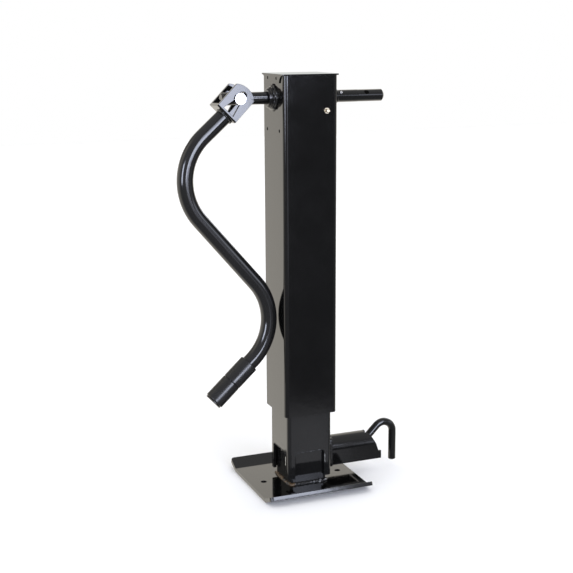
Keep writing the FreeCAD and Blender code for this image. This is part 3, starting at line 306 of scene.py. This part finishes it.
def add_piece(name, vertices, faces, material):
    """A new smooth-shaded object with one material, linked to the scene."""
    mesh = bpy.data.meshes.new(name)
    mesh.from_pydata([tuple(v) for v in vertices], [], faces)
    mesh.validate()
    mesh.update()
    for polygon in mesh.polygons:
        polygon.use_smooth = True
    mesh.materials.append(material)
    obj = bpy.data.objects.new(name, mesh)
    scene.collection.objects.link(obj)
    return obj


def ring_faces(rings, sides, closed):
    """Quads between successive rings of vertices; the last ring joins the first when closed."""
    faces = []
    for k in range(rings if closed else rings - 1):
        start, following = k * sides, (k + 1) % rings * sides
        for j in range(sides):
            beside = (j + 1) % sides
            faces.append((start + j, start + beside, following + beside, following + j))
    if not closed:
        faces.append(tuple(range(sides - 1, -1, -1)))
        faces.append(tuple((rings - 1) * sides + j for j in range(sides)))
    return faces


def resample(points, closed, step):
    """Points spaced evenly along a polyline, and its length."""
    chain = points + points[:1] if closed else points
    lengths = [0.0]
    for a, b in zip(chain, chain[1:]):
        lengths.append(lengths[-1] + (b - a).length)
    count = max(8, round(lengths[-1] / step))
    spaced, k = [], 0
    for n in range(count if closed else count + 1):
        reached = lengths[-1] * n / count
        while k < len(lengths) - 2 and lengths[k + 1] < reached:
            k += 1
        span = max(lengths[k + 1] - lengths[k], 1e-12)
        spaced.append(chain[k].lerp(chain[k + 1], (reached - lengths[k]) / span))
    return spaced, lengths[-1]


BEAD_SIDES = 16
BEAD_STEP = 0.5 * MM
BEAD_WAVES = 9
BEAD_TAPER_STEPS = 10
BEAD_TIP = 0.05
BEAD_CORE = 0.92
RIPPLE_LEAN = 0.22
RIPPLE_SHARPNESS = 0.7
LUMP_DIVISOR = 5
MAX_PHASE = 6.28


def bead_waves(rng, ripples):
    """Amplitude, turns along the bead, turns round it and phase of each wave in its surface."""
    waves = []
    for _ in range(BEAD_WAVES):
        amplitude = rng.uniform(0.3, 1.0)
        along = rng.randint(2, max(5, ripples))
        around = rng.randint(0, 3)
        waves.append((amplitude, along, around, rng.uniform(0, MAX_PHASE)))
    return waves


def weld_bead(name, points, radius, up, body, material=WELD, closed=True, pitch=4.2 * MM, seed=1,
              rough=0.16, ripple=0.09):
    """A lumpy, half buried bead along a path. up is any direction not along the path.

    rough is the depth of its random lumps and ripple that of its even ripples, as shares of radius.
    """
    rng = random.Random(seed)
    path, length = resample(points, closed, BEAD_STEP)
    count = len(path)
    ripples = max(1, round(length / pitch))
    waves = bead_waves(rng, ripples)
    vertices = []
    for k, point in enumerate(path):
        after = path[(k + 1) % count] if closed or k + 1 < count else point
        before = path[k - 1] if closed or k > 0 else point
        tangent = (after - before).normalized()
        side = tangent.cross(up).normalized()
        top = side.cross(tangent).normalized()
        share = k / count
        taper = 1.0
        if not closed:
            taper = math.sqrt(max(BEAD_TIP, min(1.0, min(k, count - 1 - k) / BEAD_TAPER_STEPS)))
        for j in range(BEAD_SIDES):
            angle = math.tau * j / BEAD_SIDES
            heights = [a * math.sin(math.tau * n * share + m * angle + p) for a, n, m, p in waves]
            phase = (share * ripples + RIPPLE_LEAN * math.cos(angle)) % 1.0
            crest = math.sin(math.pi * phase) ** RIPPLE_SHARPNESS
            lump = sum(heights) / LUMP_DIVISOR
            reach = radius * taper * (BEAD_CORE + ripple * crest + rough * lump)
            vertices.append(point + (side * math.cos(angle) + top * math.sin(angle)) * reach)
    obj = add_piece(name, vertices, ring_faces(count, BEAD_SIDES, closed), material)
    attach(obj, body)


CORNER_STEPS = 8
ARCH_STEPS = 32


def rounded_square(half, corner, z):
    """A rounded square path about the Z axis."""
    points = []
    for quarter in range(4):
        start = math.pi / 2 * quarter
        middle = start + math.pi / 4
        centre_x = math.copysign(half - corner, math.cos(middle))
        centre_y = math.copysign(half - corner, math.sin(middle))
        for k in range(CORNER_STEPS + 1):
            a = start + math.pi / 2 * k / CORNER_STEPS
            points.append(Vector((centre_x, centre_y, z)) + Vector((math.cos(a), math.sin(a), 0)) * corner)
    return points


def circle_x(x, radius, z, count=96):
    """A circle about a line along X."""
    turns = [math.tau * k / count for k in range(count)]
    return [Vector((x, radius * math.cos(a), z + radius * math.sin(a))) for a in turns]


def arch_path(x, radius, centre_z, low_z):
    """The hood's outline: up one skirt, over the top and down the other."""
    points = [Vector((x, -radius, low_z))]
    for k in range(ARCH_STEPS + 1):
        a = math.pi * k / ARCH_STEPS
        points.append(Vector((x, -radius * math.cos(a), centre_z + radius * math.sin(a))))
    return points + [Vector((x, radius, low_z))]


def add_foot_weld():
    leg_low, leg_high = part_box("drop_leg_tube")
    path = rounded_square(leg_high.x + 0.4 * MM, 5.5 * MM, leg_low.z + 0.2 * MM)
    weld_bead("foot_weld", path, 3.6 * MM, UP_Z, "drop_leg", FOOT_WELD, pitch=5.0 * MM, seed=3,
              rough=0.34, ripple=0.05)


def add_boss_welds():
    """A rough double bead round the left bushing and a neat single one round the right."""
    tube_low, tube_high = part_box("outer_tube")
    left_low, left_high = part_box("shaft_bushing_left")
    right_low, right_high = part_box("shaft_bushing_right")
    shaft_z = (left_low.z + left_high.z) / 2
    flange = (left_high.z - left_low.z) / 2
    root = circle_x(tube_low.x - 0.8 * MM, flange - 2.2 * MM, shaft_z)
    weld_bead("left_boss_weld", root, 3.0 * MM, UP_X, "housing", pitch=7.0 * MM, seed=5, rough=0.55, ripple=0.04)
    cap_pass = circle_x(tube_low.x - 3.4 * MM, flange - 4.6 * MM, shaft_z)
    weld_bead("left_boss_weld_2", cap_pass, 2.4 * MM, UP_X, "housing", pitch=6.0 * MM, seed=9,
              rough=0.55, ripple=0.04)
    right = circle_x(tube_high.x + 0.4 * MM, (right_high.z - right_low.z) / 2 - 1.2 * MM, shaft_z)
    weld_bead("right_boss_weld", right, 1.7 * MM, UP_X, "housing", seed=7, rough=0.3)


def add_hood_welds():
    """The beads that hold the hood's base plate to the ram, and the hood to its plate."""
    plate_low, plate_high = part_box("hood_mount_plate")
    x, low_z, high_z = plate_low.x + 0.6 * MM, plate_low.z + 4 * MM, plate_high.z - 4 * MM
    for name, y, seed in (("front", plate_low.y, 11), ("rear", plate_high.y, 12)):
        points = [Vector((x, y, low_z)), Vector((x, y, high_z))]
        weld_bead("hood_plate_weld_" + name, points, 1.7 * MM, UP_X, "ram", closed=False, pitch=6.0 * MM,
                  seed=seed, rough=0.2, ripple=0.03)
    hood_low, hood_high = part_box("pin_hood")
    radius = (hood_high.y - hood_low.y) / 2
    arch = arch_path(hood_low.x + 0.8 * MM, radius - 0.3 * MM, hood_high.z - radius, hood_low.z + 2 * MM)
    weld_bead("hood_weld", arch, 2.2 * MM, UP_X, "ram", closed=False, seed=14)


WINDOW_HALF = 25.4 * MM
WINDOW_TOP = 62.2 * MM
WINDOW_CORNER = 5.0 * MM
RIM_OUT = 0.3 * MM


def add_window_edges():
    """Strips of bare, nearly white steel on the flame-cut side edges of the ram's front and left windows: bare
    metal and also a painted highlight for the bright line these edges catch.
    """
    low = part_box("ram_tube")[0]
    beside, inset = WINDOW_HALF + 1.0 * MM, 1.1 * MM
    for name, x, y in (("front", beside, low.y + inset), ("left", low.x + inset, -beside)):
        points = [Vector((x, y, low.z + rise * MM)) for rise in (18, 24, 32, 41)]
        # the strips carry a painted highlight along the cut edges
        weld_bead("edge_highlight_" + name, points, 1.35 * MM, Vector((1, 1, 0)), "ram", EDGE_HIGHLIGHT_STEEL, closed=False,
                  pitch=9.0 * MM, seed=31, rough=0.10, ripple=0.02)


def add_window_rims():
    """A thin roll of paint and dross round the top of the ram's front and left windows."""
    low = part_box("ram_tube")[0]
    corner = WINDOW_CORNER + RIM_OUT
    side, top = WINDOW_HALF + RIM_OUT, WINDOW_TOP + RIM_OUT
    outline = [(-side, low.z + 10 * MM), (-side, top - corner)]
    for k in range(1, CORNER_STEPS + 1):
        a = math.pi / 2 * k / CORNER_STEPS
        outline.append((corner - side - corner * math.cos(a), top - corner + corner * math.sin(a)))
    outline += [(-across, z) for across, z in reversed(outline[1:])]
    proud = 0.15 * MM
    front = [Vector((across, low.y + proud, z)) for across, z in outline]
    left = [Vector((low.x + proud, -across, z)) for across, z in outline]
    for name, points in (("front", front), ("left", left)):
        weld_bead("window_rim_" + name, points, 0.75 * MM, Vector((1, 1, 0.3)), "ram", RIM_PAINT, closed=False,
                  pitch=6.0 * MM, seed=33, rough=0.22, ripple=0.03)


SPATTER_BEADS = 9
SPATTER_ROWS = 8
SPATTER_SIDES = 12


def add_spatter():
    """Bright beads of weld spatter at the front right of the foot weld."""
    rng = random.Random(17)
    leg_low, leg_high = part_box("drop_leg_tube")
    vertices, faces = [], []
    for k in range(SPATTER_BEADS):
        x = rng.uniform(0.25, 1.0) * leg_high.x
        y = leg_low.y - rng.uniform(1.5, 4.6) * MM
        z = leg_low.z + rng.uniform(0.6, 3.2) * MM
        size = rng.uniform(0.7, 1.35) * MM
        start = len(vertices)
        for row in range(SPATTER_ROWS + 1):
            tilt = math.pi * row / SPATTER_ROWS
            for side in range(SPATTER_SIDES):
                turn = math.tau * side / SPATTER_SIDES
                swell = 1 + 0.18 * math.sin(3 * turn + k) * math.sin(2 * tilt) + 0.12 * math.cos(2 * turn + 2 * k)
                flat = math.sin(tilt)
                out = Vector((flat * math.cos(turn), flat * math.sin(turn), math.cos(tilt)))
                vertices.append(Vector((x, y, z)) + out * size * swell)
        for row in range(SPATTER_ROWS):
            for side in range(SPATTER_SIDES):
                a = start + row * SPATTER_SIDES + side
                b = start + row * SPATTER_SIDES + (side + 1) % SPATTER_SIDES
                faces.append((a, a + SPATTER_SIDES, b + SPATTER_SIDES, b))
    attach(add_piece("foot_spatter", vertices, faces, STEEL), "drop_leg")


YOKE_ANGLE = math.radians(225.0)
YOKE_BASE = 31.5 * MM
ARM_OFFSET = 4.3 * MM
ARM_HEADING = math.radians(221.1)
ARM_WELD_RADIUS = 12.6 * MM
ARM_WELD_POINTS = 72


def add_arm_weld():
    """The bead where the crank's tube meets the yoke, laid out from the yoke pin's joint."""
    joints = frame["record"]["behaviour"]["joints"]
    fold = next(j for j in joints if j["name"] == "crank_fold")
    pin, across = Vector(fold["pos_m"]), Vector(fold["axis"])
    upright = UP_X.cross(across)

    def heading(angle):
        return UP_X * math.cos(angle) + upright * math.sin(angle)

    arm = heading(ARM_HEADING)
    sideways = heading(YOKE_ANGLE + math.pi / 2)
    centre = pin + heading(YOKE_ANGLE) * YOKE_BASE + sideways * ARM_OFFSET + arm * 0.4 * MM
    other = arm.cross(across)
    points = []
    for k in range(ARM_WELD_POINTS):
        a = math.tau * k / ARM_WELD_POINTS
        points.append(centre + (across * math.cos(a) + other * math.sin(a)) * ARM_WELD_RADIUS)
    weld_bead("arm_weld", points, 2.1 * MM, arm, "crank_arm", seed=21, rough=0.26)


SPRING_WIRE = 1.25 * MM
SPRING_RADIUS = 10.0 * MM
SPRING_TURNS = 6.0
SPRING_END_TURNS = 0.8
SPRING_SIDES = 12
SPRING_STEPS = 36


def add_spring():
    """The lock pin's coil spring, wound from the pin's washer to the spring stop plate, in place of the hidden
    CAD spring.
    """
    stop_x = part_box("spring_stop_plate")[0].x
    washer_low, washer_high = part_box("pin_washer")
    pin_z = (washer_low.z + washer_high.z) / 2
    start, end = washer_high.x + SPRING_WIRE, stop_x - SPRING_WIRE
    end_pitch = 2.1 * SPRING_WIRE
    free_length = end - start - 2 * end_pitch
    count = int((SPRING_TURNS + 2 * SPRING_END_TURNS) * SPRING_STEPS)
    vertices = []
    for k in range(count + 1):
        turn = k / SPRING_STEPS
        free = min(max((turn - SPRING_END_TURNS) / SPRING_TURNS, 0.0), 1.0)
        closed = min(turn, SPRING_END_TURNS) + max(0.0, turn - SPRING_END_TURNS - SPRING_TURNS)
        x = start + free * free_length + end_pitch * closed / SPRING_END_TURNS
        a = math.tau * turn
        out = Vector((0, math.cos(a), math.sin(a)))
        centre = Vector((x, 0, pin_z)) + out * SPRING_RADIUS
        for j in range(SPRING_SIDES):
            b = math.tau * j / SPRING_SIDES
            vertices.append(centre + (out * math.cos(b) + UP_X * math.sin(b)) * SPRING_WIRE)
    faces = ring_faces(count + 1, SPRING_SIDES, False)
    spring = add_piece("coil_spring", vertices, faces, SPRING)
    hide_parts("pin_spring")
    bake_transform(spring)


# --- camera and floor: degrees, metres, and the lens in millimetres ----------------------------

CAMERA_AZIMUTH = -21.875
CAMERA_PITCH = 12.449
CAMERA_ROLL = -0.309
CAMERA_DISTANCE = 1.8401
CAMERA_AIM = Vector((-0.0240, 0.0, 0.3301))
CAMERA_LENS = 72.652
FLOOR_HALF = 6.0


def add_camera():
    azimuth, pitch, roll = (math.radians(a) for a in (CAMERA_AZIMUTH, CAMERA_PITCH, CAMERA_ROLL))
    level = math.cos(pitch)
    forward = Vector((-math.sin(azimuth) * level, math.cos(azimuth) * level, -math.sin(pitch)))
    right = Vector((math.cos(azimuth), math.sin(azimuth), 0))
    up = right.cross(forward)
    rolled_right = right * math.cos(roll) + up * math.sin(roll)
    rolled_up = up * math.cos(roll) - right * math.sin(roll)
    data = bpy.data.cameras.new("camera")
    data.lens = CAMERA_LENS
    data.sensor_width = 36.0
    camera = bpy.data.objects.new("camera", data)
    rotation = Matrix((rolled_right, rolled_up, -forward)).transposed().to_4x4()
    camera.matrix_world = Matrix.Translation(CAMERA_AIM - forward * CAMERA_DISTANCE) @ rotation
    scene.collection.objects.link(camera)
    scene.camera = camera


def add_floor():
    """A pale floor just under the foot. It rides on the drop leg, so that the foot stands on it at any pose."""
    mesh = bpy.data.meshes.new("floor")
    h = FLOOR_HALF
    mesh.from_pydata([(-h, -h, 0), (h, -h, 0), (h, h, 0), (-h, h, 0)], [], [(0, 1, 2, 3)])
    floor = bpy.data.objects.new("floor", mesh)
    scene.collection.objects.link(floor)
    material, graph, shader, position = new_material("pale_floor")
    tone = graph.mix(graph.noise(position, 3.0, 2.0, 0.5), grey(0.955), grey(0.975))
    connect(graph, shader, Base_Color=tone, Roughness=0.8, IOR=1.1)
    mesh.materials.append(material)
    floor.visible_glossy = False
    floor.location.z = -0.3 * MM
    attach(floor, "drop_leg")


# --- light: even white for the camera and for diffuse surfaces, a studio for what paint mirrors --

# A soft-edged patch of that studio's sky: azimuth and half width in degrees about +Z, low and high
# as sines of elevation, then how soft its sides (degrees), its low edge and its high edge are.
Patch = namedtuple("Patch", "azimuth half low high soft_sides soft_low soft_high")

LIGHT_TINT = (0.78, 0.83, 1.0)
ROOM_FRONT_LOW = (0.26, 0.26, 0.27, 1.0)
ROOM_FRONT_HIGH = (0.46, 0.46, 0.48, 1.0)
ROOM_BEHIND = (1.40, 1.33, 1.20, 1.0)
ROOM_OVERHEAD = (0.60, 0.60, 0.60, 1.0)

FRONT_CARDS = [
    (Patch(-66.9, 1.9, -0.318, 0.05, 0.5, 0.008, 0.03), (0.10, 0.10, 0.105, 1.0)),
    (Patch(-66.9, 1.9, -0.60, -0.318, 0.5, 0.02, 0.008), (0.72, 0.72, 0.76, 1.0)),
]
REAR_CARDS = [
    (Patch(118.0, 22.0, 0.16, 1.0, 8.0, 0.05, 0.05), (0.42, 0.41, 0.38, 1.0)),
    (Patch(67.0, 16.0, -0.05, 0.12, 4.0, 0.02, 0.03), (0.80, 0.82, 0.80, 1.0)),
]
KEY_LIGHT = Patch(-82.3, 13.2, -0.045, 0.62, 0.4, 0.020, 0.10)
KEY_STRENGTH = 15.5
KEY_FADE = (0.0, 0.42, 1.0, 0.28)
OTHER_LIGHTS = [
    (Patch(-67.6, 1.9, 0.356, 0.62, 0.5, 0.008, 0.10), 12.0),
    (Patch(-40.0, 9.0, 0.08, 0.30, 6.0, 0.05, 0.05), 2.8),
    (Patch(-80.0, 9.0, -0.20, -0.045, 3.0, 0.03, 0.02), 1.0),
    (Patch(-146.5, 7.0, -0.075, 0.30, 5.0, 0.035, 0.06), 17.0),
    (Patch(-62.0, 3.2, 0.0, 0.26, 1.5, 0.03, 0.05), 2.0),
    (Patch(40.0, 12.0, 0.15, 0.60, 5.0, 0.06, 0.10), 2.0),
]


def patch_mask(graph, azimuth, height, patch):
    """1 inside the patch and 0 outside, for a direction's azimuth and the sine of its elevation."""
    turned = graph.math("SUBTRACT", azimuth, math.radians(patch.azimuth))
    wrapped = graph.add("ShaderNodeMath", {"operation": "WRAP"}, i0=turned, i1=math.pi, i2=-math.pi)
    off = graph.math("ABSOLUTE", wrapped.outputs[0])
    edge, soft = math.radians(patch.half), math.radians(patch.soft_sides)
    sides = graph.ramp(off, edge - soft, edge + soft, 1.0, 0.0)
    above = graph.ramp(height, patch.low - patch.soft_low, patch.low + patch.soft_low)
    below = graph.ramp(height, patch.high - patch.soft_high, patch.high + patch.soft_high, 1.0, 0.0)
    return graph.math("MULTIPLY", graph.math("MULTIPLY", sides, above), below)


def add_world():
    world = bpy.data.worlds.new("studio")
    scene.world = world
    world.use_nodes = True
    world.node_tree.nodes.clear()
    graph = Graph(world.node_tree)
    direction = graph.add("ShaderNodeTexCoord").outputs["Generated"]
    x, y, z = graph.add("ShaderNodeSeparateXYZ", Vector=direction).outputs
    azimuth = graph.math("ARCTAN2", y, x)

    def covered(colour, cards):
        for patch, card in cards:
            colour = graph.mix(patch_mask(graph, azimuth, z, patch), colour, card)
        return colour

    front = covered(graph.mix(graph.ramp(z, -0.35, 0.35), ROOM_FRONT_LOW, ROOM_FRONT_HIGH), FRONT_CARDS)
    room = covered(graph.mix(graph.ramp(y, -0.15, 0.30), front, ROOM_BEHIND), REAR_CARDS)
    total = graph.mix(graph.ramp(z, 0.60, 0.80), room, ROOM_OVERHEAD)

    key = graph.math("MULTIPLY", patch_mask(graph, azimuth, z, KEY_LIGHT), KEY_STRENGTH)
    glows = [graph.math("MULTIPLY", key, graph.ramp(z, *KEY_FADE, smooth=False))]
    for patch, strength in OTHER_LIGHTS:
        glows.append(graph.math("MULTIPLY", patch_mask(graph, azimuth, z, patch), strength))
    for glow in glows:
        light = graph.add("ShaderNodeVectorMath", {"operation": "SCALE"}, i0=LIGHT_TINT, Scale=glow).outputs[0]
        total = graph.add("ShaderNodeVectorMath", {"operation": "ADD"}, i0=total, i1=light).outputs[0]

    studio = graph.add("ShaderNodeBackground", Color=total, Strength=1.0).outputs[0]
    even = graph.add("ShaderNodeBackground", Color=grey(1.0), Strength=1.0).outputs[0]
    ray = graph.add("ShaderNodeLightPath").outputs
    seen_plainly = graph.math("MAXIMUM", ray["Is Camera Ray"], ray["Is Diffuse Ray"])
    shown = graph.add("ShaderNodeMixShader", i0=seen_plainly, i1=studio, i2=even).outputs[0]
    graph.add("ShaderNodeOutputWorld", Surface=shown)


finish_all_nodes()
add_arm_weld()
add_spring()
add_window_edges()
add_window_rims()
add_spatter()
add_foot_weld()
add_boss_welds()
add_hood_welds()
add_camera()
add_floor()
add_world()
scene.view_settings.view_transform = "Standard"
